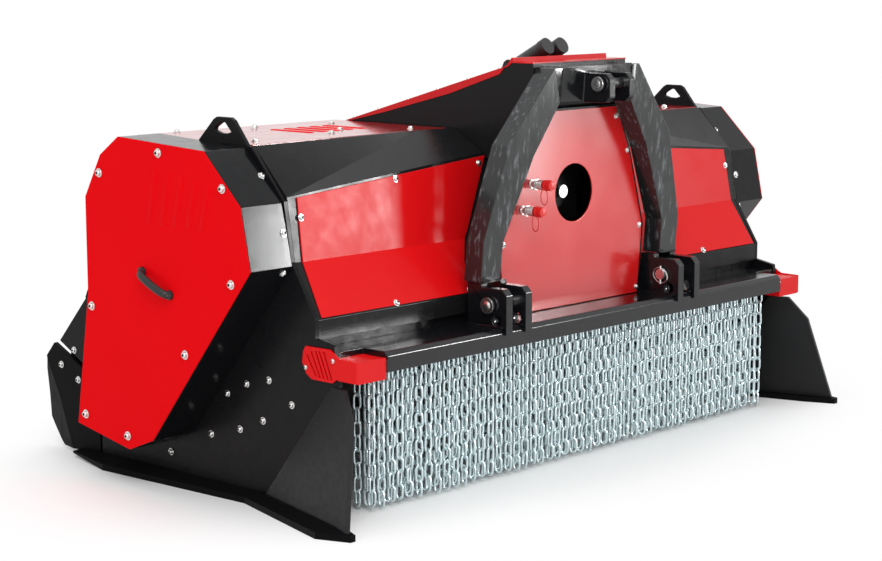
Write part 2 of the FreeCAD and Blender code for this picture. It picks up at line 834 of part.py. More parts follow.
hood_bored = cut("hood_bored", fuse("hood_fused", hood_parts), hinge_bore)
node("rear_hood", [cut("hood_solid", hood_bored, lug_bore)])

# Hinge shaft and its hangers on the housing

hinge_parts = [rod("hinge_shaft", "x", 15, -side_in, S.hinge_y, S.hinge_z, 2 * side_in)]
for index, start in enumerate((-960, -380, 368, 948)):
    hanger = [(1066, 1040), (1098, 1040), (1098, deck_low), (1066, deck_low)]
    hinge_parts.append(prism("hanger_%d" % index, "YZ", hanger, start, start + 12))
node("hinge_shaft_and_hangers", [fuse("hinge_fused", hinge_parts)])

# Rotor: drum, stub shafts and helical rows of teeth

drum = rod("drum", "x", S.drum_r, -drum_half, S.rotor_y, S.rotor_z, 2 * drum_half)
stub = rod("stub", "x", 60, -side_in + 6, S.rotor_y, S.rotor_z, 2 * side_in - 12)
tooth_shapes = [drum, stub]
TOOTH_COUNT = 36
TOOTH_TURN = 50
tooth_long = S.tip_r - S.drum_r
for index in range(TOOTH_COUNT):
    for side in (0, 180):
        angle = index * TOOTH_TURN + side
        tooth = new("Part::Box", "tooth_%d_%d" % (index, side))
        put(tooth, "Length", 46)
        put(tooth, "Width", 58)
        put(tooth, "Height", tooth_long + 20)
        turn = FreeCAD.Rotation(V(1, 0, 0), angle)
        across = turn.multVec(V(0, -29, 0))
        up = turn.multVec(V(0, 0, 1))
        start = 27 - drum_half + (2 * drum_half - 100) * (index / (TOOTH_COUNT - 1.0))
        place(
            tooth,
            start,
            S.rotor_y + across.y + (S.drum_r - 20) * up.y,
            S.rotor_z + across.z + (S.drum_r - 20) * up.z,
            turn,
        )
        tooth_shapes.append(tooth)
node("rotor", [fuse("rotor_solid", tooth_shapes)])

# Gearbox block and input shaft

gearbox_block = box("gearbox_block", -150, 150, 352, 650, 790, 1000)
gearbox_nose = rod("gearbox_nose", "y", 60, 0, 322, S.shaft_z, 60)
gearbox_hanger = box("gearbox_hanger", -60, 60, 450, 560, 999, 1102)
gearbox_bridge = box(
    "gearbox_bridge", S.tower_wall - S.tower_half, S.tower_half - S.tower_wall, 450, 560, 1090, 1102
)
journal_r = S.shaft_r - 2
shaft_bore = rod("shaft_bore", "y", journal_r + 0.05, 0, 300, S.shaft_z, 90)
gearbox_fused = fuse("gearbox_fused", [gearbox_block, gearbox_nose, gearbox_hanger, gearbox_bridge])
node("gearbox", [cut("gearbox_solid", gearbox_fused, shaft_bore)])
shaft_stub = rod("shaft_stub", "y", S.shaft_r, 0, 288, S.shaft_z, 28)
shaft_journal = rod("shaft_journal", "y", journal_r, 0, 300, S.shaft_z, 86)
shaft_drill = rod("shaft_drill", "y", 5, 0, 287, S.shaft_z, 9)
shaft_blank = fuse("shaft_blank", [shaft_stub, shaft_journal])
node("input_shaft", [cut("input_shaft_solid", shaft_blank, shaft_drill)])

# Hydraulic couplers with their caps

COUPLERS = [
    # x, z
    (-239, 944),
    (-283, 861),
]
coupler_solids = []
cap_solids = []
for index, (x, z) in enumerate(COUPLERS):
    steps = [
        rod("coupler_nut_%d" % index, "y", 15, x, 224, z, 18),
        rod("coupler_stem_%d" % index, "y", 10, x, 200, z, 24),
        rod("coupler_collar_%d" % index, "y", 15, x, 172, z, 28),
    ]
    coupler_solids.append(fuse("coupler_%d" % index, steps))
    cap_solids.append(rod("coupler_cap_%d" % index, "y", 17, x, 136, z, 36))
node("hydraulic_couplers", coupler_solids)
node("coupler_caps", cap_solids)

# Hood cylinders: brackets, barrels with their trunnion, rods with their eyes

TRUNNION_ALONG = 150
turn = math.radians(S.cyl_tilt.number)
trunnion_y = S.cap_y.number + TRUNNION_ALONG * math.cos(turn)
trunnion_z = S.cap_z.number - TRUNNION_ALONG * math.sin(turn)


def on_cover(y):
    """Height of the tower cover's top at a depth."""
    return 1319.8 - (y - 351.5) * (1319.8 - 1105.2) / (1100 - 351.5)


bracket_outline = [
    (trunnion_y - 46, on_cover(trunnion_y - 46)), (trunnion_y + 40, on_cover(trunnion_y + 40)),
    (trunnion_y + 20, trunnion_z + 14), (trunnion_y + 8, trunnion_z + 22),
    (trunnion_y - 10, trunnion_z + 22), (trunnion_y - 22, trunnion_z + 12),
]
cylinder_ear = prism("cylinder_ear_blank", "YZ", bracket_outline, S.cyl_gap + 39, S.cyl_gap + 51)
ear_bore = rod("cylinder_ear_bore", "x", 12.05, 0, trunnion_y, trunnion_z, 120)
node("cylinder_brackets", pair("cylinder_ear", cut("cylinder_ear", cylinder_ear, ear_bore)))

barrel_solids = []
rod_solids = []
for index, side in enumerate((-1, 1)):
    x = S.cyl_gap * side
    body = fuse(
        "barrel_body_%d" % index,
        [
            tilted("barrel_%d" % index, S.cyl_r, x, 0, 418),
            tilted("barrel_cap_%d" % index, S.cyl_r + 2, x, 0, 26),
            tilted("barrel_gland_%d" % index, S.cyl_r + 2, x, 392, 26),
        ],
    )
    bore = tilted("barrel_bore_%d" % index, 13.05, x, 120, 310)
    barrel_solids.append(cut("barrel_bored_%d" % index, body, bore))
trunnion = rod("trunnion", "x", 12, -S.cyl_gap - 56, trunnion_y, trunnion_z, 2 * S.cyl_gap + 112)
barrels_fused = fuse("barrels_fused", barrel_solids + [trunnion])
barrel_clear = []
for index, side in enumerate((-1, 1)):
    barrel_clear.append(tilted("barrel_clear_%d" % index, 13.05, S.cyl_gap * side, 170, 260))
barrel_tools = new("Part::Compound", "barrel_tools")
barrel_tools.Links = barrel_clear
node("cylinder_barrels", [cut("barrels_solid", barrels_fused, barrel_tools)])

eye_along = math.hypot(LUG_PIN_Y - S.cap_y.number, LUG_PIN_Z - S.cap_z.number)
for index, side in enumerate((-1, 1)):
    x = S.cyl_gap * side
    bar = tilted("rod_bar_%d" % index, 13, x, 260, eye_along - 260)
    eye = rod("rod_eye_%d" % index, "x", 24, x - 12, LUG_PIN_Y, LUG_PIN_Z, 24)
    hole = rod("rod_hole_%d" % index, "x", 15.5, x - 20, LUG_PIN_Y, LUG_PIN_Z, 40)
    rod_solids.append(cut("rod_solid_%d" % index, fuse("rod_fused_%d" % index, [bar, eye]), hole))
node("cylinder_rods", rod_solids)
lug_pin = rod("lug_pin", "x", 10, -S.cyl_gap - 44, LUG_PIN_Y, LUG_PIN_Z, 2 * S.cyl_gap + 88)
node("hood_lug_pin", [lug_pin])

# Chain curtain: three rows of hanging chains, each row one comb

CHAIN_ROWS = [
    # node name, row depth, number of chains, link steps
    ("chain_row_front", 185, 50, 3),
    ("chain_row_middle", 215, 49, 1),
    ("chain_row_rear", 245, 50, 1),
]
CHAIN_WIDE = 28
for name, depth, count, steps in CHAIN_ROWS:
    rail = box(name + "_rail", -chain_half, chain_half, depth - 5, depth + 5, S.beam_low - 14, S.beam_low)
    pitch = (2 * chain_half - CHAIN_WIDE) * (1.0 / 49)
    first = -chain_half if count == 50 else -chain_half + pitch * 0.5
    drop = (S.beam_low - 14 - S.chain_low) * (1.0 / steps)
    left_edge = []
    right_edge = []
    for step in range(steps):
        low = S.chain_low + drop * step
        if steps == 1:
            left_edge += [(2, low)]
            right_edge += [(CHAIN_WIDE - 2, low)]
        else:
            left_edge += [(4, low), (0, low + drop * 0.5)]
            right_edge += [(CHAIN_WIDE - 4, low), (CHAIN_WIDE, low + drop * 0.5)]
    top = S.beam_low - 7
    loop_points = left_edge + [(8, top), (CHAIN_WIDE - 8, top)] + list(reversed(right_edge))
    chain = prism(name + "_chain", "XZ", loop_points, depth - 4, depth + 4)
    chain.setExpression("Placement.Base.x", txt(first))
    copies = [chain]
    for index in range(1, count):
        copy = doc.addObject("App::Link", "%s_copy_%d" % (name, index))
        copy.LinkedObject = chain
        copy.LinkTransform = False
        shift = first + pitch * index
        copy.Placement = FreeCAD.Placement(V(num(shift), 0, 0), FreeCAD.Rotation())
        copy.setExpression("Placement.Base.x", txt(shift))
        copies.append(copy)
    node(name, [fuse(name + "_solid", [rail] + copies)])

doc.recompute()

bad = []
for obj in doc.Objects:
    if "Invalid" in obj.State or "Error" in obj.State:
        bad.append(obj.Label)
    elif obj.isDerivedFrom("Part::Feature") and not obj.isDerivedFrom("Sketcher::SketchObject"):
        if obj.Shape.isNull() or not obj.Shape.isValid():
            bad.append(obj.Label)
if bad:
    raise SystemExit("these objects are not sound: " + ", ".join(bad))

os.makedirs("parts", exist_ok=True)
for name, holder in NODES.items():
    holder.Shape.exportStep("parts/%s.step" % name)
print("nodes:", len(NODES))
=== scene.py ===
import math
import random

import bpy
from mathutils import Matrix, Vector
from mathutils.bvhtree import BVHTree


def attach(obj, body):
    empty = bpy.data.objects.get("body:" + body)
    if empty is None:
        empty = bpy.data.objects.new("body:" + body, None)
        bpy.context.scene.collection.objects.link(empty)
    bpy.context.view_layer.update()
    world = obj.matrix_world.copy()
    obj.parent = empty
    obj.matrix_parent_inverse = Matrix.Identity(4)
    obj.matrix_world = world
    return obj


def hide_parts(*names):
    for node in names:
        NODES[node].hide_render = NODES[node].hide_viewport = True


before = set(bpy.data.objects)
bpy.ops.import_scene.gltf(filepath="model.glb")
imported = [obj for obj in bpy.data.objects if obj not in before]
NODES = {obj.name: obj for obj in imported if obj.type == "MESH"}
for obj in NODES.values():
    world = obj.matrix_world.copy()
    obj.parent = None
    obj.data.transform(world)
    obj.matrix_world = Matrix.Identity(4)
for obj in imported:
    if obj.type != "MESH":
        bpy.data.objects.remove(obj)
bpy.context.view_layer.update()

# Tractor stone crusher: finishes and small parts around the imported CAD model.
# Places are given in millimetres with y counted from the wing tips, as in the part's source.

HALF_DEPTH = 822.5
COVER_OUT = 1336.0
BEYOND_SIDE = 1400
SHAFT_Z = 896
LINK_PIN = (162, 583)
TOP_PIN = (84, 1269)
ROTOR_AXIS = (930, 330)
BACKWARD = Vector((0, 1, 0))
FORWARD = Vector((0, -1, 0))
DOWNWARD = Vector((0, 0, -1))
scene = bpy.context.scene


def at(x, y, z):
    """A point of the row frame, in metres, from millimetres counted from the wing tips."""
    return Vector((x, y - HALF_DEPTH, z)) / 1000.0


# Finishes

MIDDLE_SHARE = 9
# Fade and cover of the scuff layer: real wear on steel, painted sheen streaks on the mast.
SCUFF_AND_SHEEN_FADE = 0.16
SCUFF_AND_SHEEN_COVER = 0.7
DULL_RANGE = (0.3, 0.7)
RELIEF_DEPTH = 0.001


def finish(name, colour, other, rough, specular=0.5, metal=0.0, coat=0.0, coat_rough=0.08,
           patch=3.0, grain=220.0, bump=0.05, streak=(1, 1, 1), scuff_and_sheen=None, scuff_and_sheen_from=0.62):
    """A painted or metal surface: broad colour drift, uneven roughness, fine grain and a scuff layer, which
    is real wear on steel and painted sheen streaks on the mast.
    """
    material = bpy.data.materials.new(name)
    material.use_nodes = True
    tree = material.node_tree
    shader = tree.nodes["Principled BSDF"]
    shader.inputs["Metallic"].default_value = metal
    shader.inputs["Specular IOR Level"].default_value = specular
    shader.inputs["Coat Weight"].default_value = coat
    shader.inputs["Coat Roughness"].default_value = coat_rough
    place = tree.nodes.new("ShaderNodeTexCoord")
    stretch = tree.nodes.new("ShaderNodeMapping")
    stretch.inputs["Scale"].default_value = streak
    tree.links.new(place.outputs["Object"], stretch.inputs["Vector"])

    def noise(scale, detail, roughness=0.6):
        node = tree.nodes.new("ShaderNodeTexNoise")
        node.inputs["Scale"].default_value = scale
        node.inputs["Detail"].default_value = detail
        node.inputs["Roughness"].default_value = roughness
        tree.links.new(stretch.outputs["Vector"], node.inputs["Vector"])
        return node

    broad = noise(patch, 5)
    middle = noise(patch * MIDDLE_SHARE, 4)
    fine = noise(grain, 3)
    tone = tree.nodes.new("ShaderNodeMix")
    tone.data_type = "RGBA"
    tone.inputs[6].default_value = (*colour, 1)
    tone.inputs[7].default_value = (*other, 1)
    tree.links.new(broad.outputs["Fac"], tone.inputs[0])
    last = tone.outputs[2]
    # Scuff layer: real scuffs on cast and wear steel; on the mast it is painted sheen, pale streaks standing
    # in for reflections.
    if scuff_and_sheen:
        scuff_and_sheen_mask = tree.nodes.new("ShaderNodeMapRange")
        scuff_and_sheen_mask.inputs["From Min"].default_value = scuff_and_sheen_from
        scuff_and_sheen_mask.inputs["From Max"].default_value = scuff_and_sheen_from + SCUFF_AND_SHEEN_FADE
        scuff_and_sheen_mask.inputs["To Max"].default_value = SCUFF_AND_SHEEN_COVER
        tree.links.new(middle.outputs["Fac"], scuff_and_sheen_mask.inputs["Value"])
        worn_and_sheen = tree.nodes.new("ShaderNodeMix")
        worn_and_sheen.data_type = "RGBA"
        worn_and_sheen.inputs[7].default_value = (*scuff_and_sheen, 1)
        tree.links.new(scuff_and_sheen_mask.outputs["Result"], worn_and_sheen.inputs[0])
        tree.links.new(last, worn_and_sheen.inputs[6])
        last = worn_and_sheen.outputs[2]
    tree.links.new(last, shader.inputs["Base Color"])
    dull = tree.nodes.new("ShaderNodeMapRange")
    dull.inputs["From Min"].default_value = DULL_RANGE[0]
    dull.inputs["From Max"].default_value = DULL_RANGE[1]
    dull.inputs["To Min"].default_value = rough[0]
    dull.inputs["To Max"].default_value = rough[1]
    tree.links.new(middle.outputs["Fac"], dull.inputs["Value"])
    tree.links.new(dull.outputs["Result"], shader.inputs["Roughness"])
    relief = tree.nodes.new("ShaderNodeBump")
    relief.inputs["Strength"].default_value = bump
    relief.inputs["Distance"].default_value = RELIEF_DEPTH
    tree.links.new(fine.outputs["Fac"], relief.inputs["Height"])
    tree.links.new(relief.outputs["Normal"], shader.inputs["Normal"])
    return material


BLACK = finish("black_paint", (0.0045, 0.0048, 0.0055), (0.0085, 0.0085, 0.0095), (0.22, 0.36),
               specular=0.10, patch=2.2, grain=260, bump=0.06)
CASING_BLACK = finish("black_casing_paint", (0.0040, 0.0044, 0.0052), (0.0075, 0.0078, 0.0088), (0.10, 0.20),
                      specular=0.14, patch=2.2, grain=140, bump=0.05)
GLOSS = finish("black_gloss_paint", (0.0040, 0.0044, 0.0054), (0.0085, 0.0092, 0.0108), (0.10, 0.26),
               specular=0.30, coat=0.2, patch=6.0, grain=70, bump=0.45)
# Painted sheen: the mast's pale blue-grey scuff layer, stretched upright, stands in for the white streak
# reflections on the glossy legs.
MAST_WITH_PAINTED_SHEEN = finish("black_mast_paint_with_painted_sheen", (0.0090, 0.0100, 0.0110), (0.0200, 0.0215, 0.0225), (0.12, 0.30),
              specular=0.34, coat=0.3, patch=7.0, grain=60, bump=0.30, streak=(1, 1, 0.22),
              scuff_and_sheen=(0.16, 0.18, 0.19), scuff_and_sheen_from=0.56)
PANEL_BLACK = finish("black_sheet_paint", (0.0070, 0.0070, 0.0078), (0.0120, 0.0120, 0.0128), (0.18, 0.32),
                     specular=0.14, patch=1.6, grain=320, bump=0.04)
DULL_BLACK = finish("black_dull_paint", (0.0040, 0.0040, 0.0046), (0.0065, 0.0065, 0.0070), (0.30, 0.44),
                    specular=0.03, patch=2.2, grain=240, bump=0.06)
RED = finish("red_paint", (0.740, 0.0016, 0.0048), (0.700, 0.0014, 0.0042), (0.34, 0.46),
             specular=0.02, patch=1.4, grain=300, bump=0.02)
PANEL_RED = finish("red_panel_paint", (0.690, 0.0040, 0.0060), (0.640, 0.0034, 0.0052), (0.30, 0.42),
                   specular=0.12, patch=1.4, grain=300, bump=0.02)
CENTRE_RED = finish("red_centre_paint", (0.660, 0.0060, 0.0070), (0.620, 0.0052, 0.0062), (0.16, 0.24),
                    specular=0.6, coat=0.5, patch=1.2, grain=300, bump=0.02)
DECK_RED = finish("red_deck_paint", (0.400, 0.0024, 0.0050), (0.350, 0.0020, 0.0044), (0.12, 0.22),
                  specular=0.45, coat=0.45, patch=1.4, grain=300, bump=0.02)
RED_TOP = finish("red_top_paint", (0.620, 0.0028, 0.0060), (0.570, 0.0022, 0.0052), (0.14, 0.24),
                 specular=0.22, coat=0.15, patch=1.4, grain=300, bump=0.02)
CAST = finish("cast_steel", (0.050, 0.046, 0.043), (0.095, 0.088, 0.080), (0.42, 0.66),
              specular=0.5, metal=0.5, patch=9, grain=150, bump=0.45, scuff_and_sheen=(0.20, 0.16, 0.13))
WEAR = finish("wear_steel", (0.012, 0.012, 0.013), (0.020, 0.020, 0.020), (0.30, 0.48),
              specular=0.16, patch=5, grain=170, bump=0.14, scuff_and_sheen=(0.045, 0.042, 0.040), scuff_and_sheen_from=0.66)
DARK = finish("dark_steel", (0.0040, 0.0040, 0.0042), (0.0070, 0.0068, 0.0066), (0.45, 0.65),
              specular=0.10, patch=6, grain=200, bump=0.10)
ZINC = finish("galvanized", (0.52, 0.64, 0.66), (0.80, 0.88, 0.90), (0.22, 0.42),
              metal=0.80, patch=22, grain=420, bump=0.20)
BRIGHT = finish("bright_steel", (0.62, 0.63, 0.62), (0.80, 0.80, 0.78), (0.18, 0.34),
                metal=1.0, patch=30, grain=500, bump=0.08, streak=(1, 6, 1))
CARBIDE = finish("carbide_steel", (0.24, 0.24, 0.25), (0.36, 0.36, 0.36), (0.26, 0.46),
                 metal=0.9, patch=30, grain=500, bump=0.2)
PLASTIC = finish("black_plastic", (0.011, 0.011, 0.012), (0.018, 0.018, 0.019), (0.36, 0.52),
                 specular=0.45, patch=12, grain=700, bump=0.16)
CAP = finish("cap_plastic", (0.70, 0.012, 0.012), (0.62, 0.010, 0.010), (0.34, 0.48),
             specular=0.45, patch=20, grain=600, bump=0.08)
# Painted shade: a near-black matt colour for the inside of the bolt sockets, where the recess falls into
# shade.
SOCKET_PAINTED_SHADE = finish("socket_painted_shade", (0.004, 0.004, 0.004), (0.006, 0.006, 0.006), (0.7, 0.9),
                specular=0.1, patch=20, grain=200, bump=0.05)

NODE_FINISH = [
    # finish, bevel in millimetres, CAD nodes
    (BLACK, 2.0, ["side_plate_left", "side_plate_right", "deck",
                  "rear_hood", "chamber_shell", "apron", "lifting_eyes"]),
    (DULL_BLACK, 2.0, ["rear_cheeks", "skids"]),
    (CASING_BLACK, 2.0, ["drive_casings"]),
    (DARK, 1.5, ["gearbox"]),
    (DECK_RED, 1.5, ["deck_covers"]),
    (RED_TOP, 1.5, ["tower_cover"]),
    (PANEL_BLACK, 1.6, ["tower", "front_frames", "shoulders", "centre_frame", "hinge_shaft_and_hangers"]),
    (MAST_WITH_PAINTED_SHEEN, 3.0, ["mast_leg_left", "mast_leg_right"]),
    (GLOSS, 3.0, ["mast_head", "top_link_clevis", "lower_clevises", "front_beam", "cylinder_brackets"]),
    (RED, 1.5, ["end_covers"]),
    (PANEL_RED, 1.5, ["front_panels", "beam_brackets"]),
    (CENTRE_RED, 1.5, ["centre_panel"]),
    (WEAR, 1.8, ["wings"]),
    (CAST, 1.5, ["rotor"]),
    (PLASTIC, 1.2, ["cylinder_barrels", "cover_handles"]),
    (BRIGHT, 0.8, ["hitch_pins", "input_shaft", "cylinder_rods", "hood_lug_pin", "hydraulic_couplers"]),
    (CAP, 0.8, ["coupler_caps"]),
    (ZINC, 0.5, ["chain_row_front", "chain_row_middle", "chain_row_rear"]),
]
WELD_REACH = 0.00002
BEVEL_ANGLE = math.radians(30)


def dress(name, material, bevel_mm):
    """Gives a CAD node its finish and rounds its edges; the casings' flat facets get weighted normals."""
    node = NODES[name]
    node.data.materials.clear()
    node.data.materials.append(material)
    weld = node.modifiers.new("weld", "WELD")
    weld.merge_threshold = WELD_REACH
    bevel = node.modifiers.new("bevel", "BEVEL")
    bevel.width = bevel_mm / 1000.0
    bevel.segments = 2
    bevel.limit_method = "ANGLE"
    bevel.angle_limit = BEVEL_ANGLE
    bevel.use_clamp_overlap = True
    bevel.harden_normals = name != "drive_casings"
    if name == "drive_casings":
        smooth = node.modifiers.new("weighted_normals", "WEIGHTED_NORMAL")
        smooth.weight = 100
        smooth.keep_sharp = True


for material, bevel_mm, names in NODE_FINISH:
    for name in names:
        dress(name, material, bevel_mm)

# Mesh building


class Pile:
    """Vertices and faces of one piece, with the finish of each face."""

    def __init__(self):
        self.points = []
        self.faces = []
        self.marks = []

    def add(self, points, faces, mark=0):
        base = len(self.points)
        self.points.extend(points)
        self.faces.extend([tuple(base + i for i in face) for face in faces])
        self.marks.extend([mark] * len(faces))

    def build(self, name, materials, body, crease=38):
        mesh = bpy.data.meshes.new(name)
        mesh.from_pydata([tuple(p) for p in self.points], [], self.faces)
        for material in materials:
            mesh.materials.append(material)
        mesh.polygons.foreach_set("material_index", self.marks)
        mesh.validate()
        mesh.shade_smooth()
        mesh.set_sharp_from_angle(angle=math.radians(crease))
        piece = bpy.data.objects.new(name, mesh)
        scene.collection.objects.link(piece)
        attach(piece, body)
        return piece


def frame_of(axis):
    """Two directions square to an axis."""
    axis = axis.normalized()
    side = axis.cross(Vector((0, 0, 1)))
    if side.length < 0.1:
        side = axis.cross(Vector((0, 1, 0)))
    side.normalize()
    return side, axis.cross(side)


def lathe(pile, profile, foot, axis, turns=20, mark=0, twist=0.0, corners=None):
    """Turns (radius, height) points in millimetres about an axis; corners makes that stretch a polygon."""
    side, up = frame_of(axis)
    axis = axis.normalized()
    points = []
    for radius, height in profile:
        for step in range(turns):
            angle = 2 * math.pi * step / turns + twist
            reach = radius
            if corners:
                sector = 2 * math.pi / corners
                reach = radius / math.cos((angle % sector) - sector / 2)
            turn = side * math.cos(angle) + up * math.sin(angle)
            points.append(foot + (turn * reach + axis * height) / 1000.0)
    faces = []
    for row in range(len(profile) - 1):
        for step in range(turns):
            following = (step + 1) % turns
            faces.append((row * turns + step, row * turns + following,
                          (row + 1) * turns + following, (row + 1) * turns + step))
    faces.append(tuple(range(turns))[::-1])
    last = (len(profile) - 1) * turns
    faces.append(tuple(range(last, last + turns)))
    pile.add(points, faces, mark)


def sweep(pile, path, shape, closed=False, mark=0, grow=None):
    """Carries a closed cross-section (metres) along a path; grow scales it point by point."""
    count = len(path)
    points = []
    side = None
    for index, spot in enumerate(path):
        before = path[index - 1] if closed or index else path[0]
        after = path[(index + 1) % count] if closed or index < count - 1 else path[-1]
        along = (after - before).normalized()
        if side is None:
            side, _ = frame_of(along)
        side = (side - along * side.dot(along)).normalized()
        up = along.cross(side)
        scale = grow[index] if grow else 1.0
        for u, v in shape:
            points.append(spot + side * u * scale + up * v * scale)
    ring = len(shape)
    faces = []
    for row in range(count if closed else count - 1):
        here = row * ring
        there = ((row + 1) % count) * ring
        for step in range(ring):
            beside = (step + 1) % ring
            faces.append((here + step, here + beside, there + beside, there + step))
    if not closed:
        faces.append(tuple(range(ring))[::-1])
        faces.append(tuple(range((count - 1) * ring, count * ring)))
    pile.add(points, faces, mark)


def round_shape(radius_mm, sides):
    """A circle as a cross-section in metres."""
    radius = radius_mm / 1000
    step = 2 * math.pi / sides
    return [(radius * math.cos(i * step), radius * math.sin(i * step)) for i in range(sides)]


TREES = {}


def touch(node_name, start, direction):
    """The first point of a CAD node met by a ray, with the face's outward direction."""
    if node_name not in TREES:
        mesh = NODES[node_name].data
        TREES[node_name] = BVHTree.FromPolygons(
            [v.co.copy() for v in mesh.vertices], [tuple(p.vertices) for p in mesh.polygons]
        )
    spot, normal, _, _ = TREES[node_name].ray_cast(start, direction.normalized())
    if spot is None:
        raise RuntimeError("no face of %s at %s" % (node_name, tuple(round(c, 3) for c in start)))
    if normal.dot(direction) > 0:
        normal = -normal
    return spot, normal


def segment(start, end, step_mm):
    """Points along a straight line, no further apart than a step."""
    count = max(2, int((end - start).length * 1000 / step_mm))
    return [start.lerp(end, i / count) for i in range(count + 1)]


# Bolts: a domed socket head on a washer

WASHER = [(12.2, 0), (12.2, 1.8), (11.6, 2.4), (8.8, 2.4)]
HEAD = [(8.8, 2.2), (8.8, 5.4), (8.2, 7.2), (6.6, 8.9), (4.2, 9.6)]
SOCKET = [(4.2, 9.6), (3.9, 9.4), (3.8, 6.2)]
rng = random.Random(41)


def bolt(pile, spot, normal, scale=1.0):
    """One washer, head and socket, the socket's inside darkened with painted shade, seated on a face."""
    grow = [(r * scale, h * scale) for r, h in WASHER]
    lathe(pile, grow, spot, normal, turns=20)
    grow = [(r * scale, h * scale) for r, h in HEAD]
    lathe(pile, grow, spot, normal, turns=18)
    grow = [(r * scale * 0.9, h * scale) for r, h in SOCKET]
    # The socket's inside takes the second slot, which is painted shade.
    lathe(pile, grow, spot + normal * 0.0002, normal, turns=12, mark=1, corners=6, twist=rng.random())


def both(rows):
    """Each row for the left side, then for the right."""
    return [(-1, row) for row in rows] + [(1, row) for row in rows]


END_BOLTS = [
    # y, z on the end covers
    (795, 1084), (1089, 1003), (501, 995), (467, 710), (1143, 570), (685, 469), (1189, 208), (974, 169),
]
SIDE_BOLTS = [
    # y, z on the side plates
    (767, 179), (629, 216), (522, 259), (391, 328), (687, 322), (596, 365), (493, 391),
    (701, 404), (656, 457), (773, 359), (771, 470), (968, 88), (1471, 359),
]
CHEEK_BOLTS = [
    # y, z on the rear cheeks
    (1544, 300), (1452, 259),
]
EDGE_BOLTS = [
    # x, y, z aimed at the front edges of the drive casings
    (1178, 488, 1030), (1180, 380, 856), (1190, 372, 735),
]
PANEL_BOLTS = [
    # x, z on the front panels
    (282, 1003), (682, 981), (1108, 897), (813, 612), (472, 612),
]
CENTRE_BOLTS = [
    # x, z on the centre panel
    (224, 1141), (290, 1020), (362, 753), (350, 535),
]
DECK_BOLTS = [
    # x, y on the deck covers
    (375, 643), (393, 1006), (688, 1073), (1003, 1103), (1060, 660), (684, 706), (734, 1025), (568, 785),
]
TOWER_BOLTS = [
    # y along both edges of the tower cover
    380, 520, 660, 800, 940, 1062,
]
GUARD_BOLTS = [
    # y, z on the slotted guards
    (203, 490), (321, 456),
]

ABOVE_ALL = 1600
TOWER_EDGE = 222
CASING_SLOPE_FROM = 1000
CASING_SLOPE_AIM = Vector((0, 1, -0.6))
AIM_START = 0.2


def side_bolt(pile, node_name, sign, y, z, scale=1.0):
    """A bolt on a face that looks sideways."""
    start = at(sign * BEYOND_SIDE, y, z)
    bolt(pile, *touch(node_name, start, Vector((-sign, 0, 0))), scale=scale)


pile = Pile()
for sign, (y, z) in both(END_BOLTS):
    side_bolt(pile, "end_covers", sign, y, z, scale=1.2)
for sign, (y, z) in both(CHEEK_BOLTS):
    side_bolt(pile, "rear_cheeks", sign, y, z)
for sign, (y, z) in both(SIDE_BOLTS):
    side_bolt(pile, "side_plate_right" if sign > 0 else "side_plate_left", sign, y, z)
for sign, (x, y, z) in both(EDGE_BOLTS):
    aim = CASING_SLOPE_AIM if z > CASING_SLOPE_FROM else BACKWARD
    start = at(sign * x, y, z) - aim.normalized() * AIM_START
    bolt(pile, *touch("drive_casings", start, aim))
pile.build("side_bolts", [BRIGHT, SOCKET_PAINTED_SHADE], "housing")

pile = Pile()
for sign, (x, z) in both(PANEL_BOLTS):
    bolt(pile, *touch("front_panels", at(sign * x, 0, z), BACKWARD), scale=0.95)
for sign, (x, z) in both(CENTRE_BOLTS):
    bolt(pile, *touch("centre_panel", at(sign * x, 0, z), BACKWARD), scale=0.85)
for sign, (x, y) in both(DECK_BOLTS):
    bolt(pile, *touch("deck_covers", at(sign * x, y, ABOVE_ALL), DOWNWARD))
for sign, y in both(TOWER_BOLTS):
    bolt(pile, *touch("tower_cover", at(sign * TOWER_EDGE, y, ABOVE_ALL), DOWNWARD), scale=0.85)
for sign, (y, z) in both(GUARD_BOLTS):
    side_bolt(pile, "beam_brackets", sign, y, z, scale=0.6)
pile.build("panel_bolts", [BRIGHT, SOCKET_PAINTED_SHADE], "housing")

# Weld beads


def bead(pile, start, end, radius, seed):
    """A run of overlapping weld ripples between two points."""
    local = random.Random(seed)
    path = segment(start, end, 3.0)
    grow = []
    for index in range(len(path)):
        ripple = 0.86 + 0.16 * abs(math.sin(index * 1.25))
        grow.append(ripple + local.uniform(-0.07, 0.07))
    path = [p + Vector([local.uniform(-0.0004, 0.0004) for _ in range(3)]) for p in path]
    sweep(pile, path, round_shape(radius, 7), grow=grow)


MAST_TOP = 1324
MAST_FRONT = 144
MAST_SLOPE = 0.08
HEAD_SIDE = 184
LEG_FOOT = 651
LEG_OUT = 519
EAR_WELDS = (38, 66)
BEAM_TOP = 514
LOW_EAR_WELDS = [
    # x, depth where the bead ends
    (LEG_OUT, 254), (487, 200), (425, 200), (392, 254),
]


def lean(z):
    """Depth of the mast's front face at a height, as in the part's source."""
    return MAST_FRONT + (MAST_TOP - z) * MAST_SLOPE


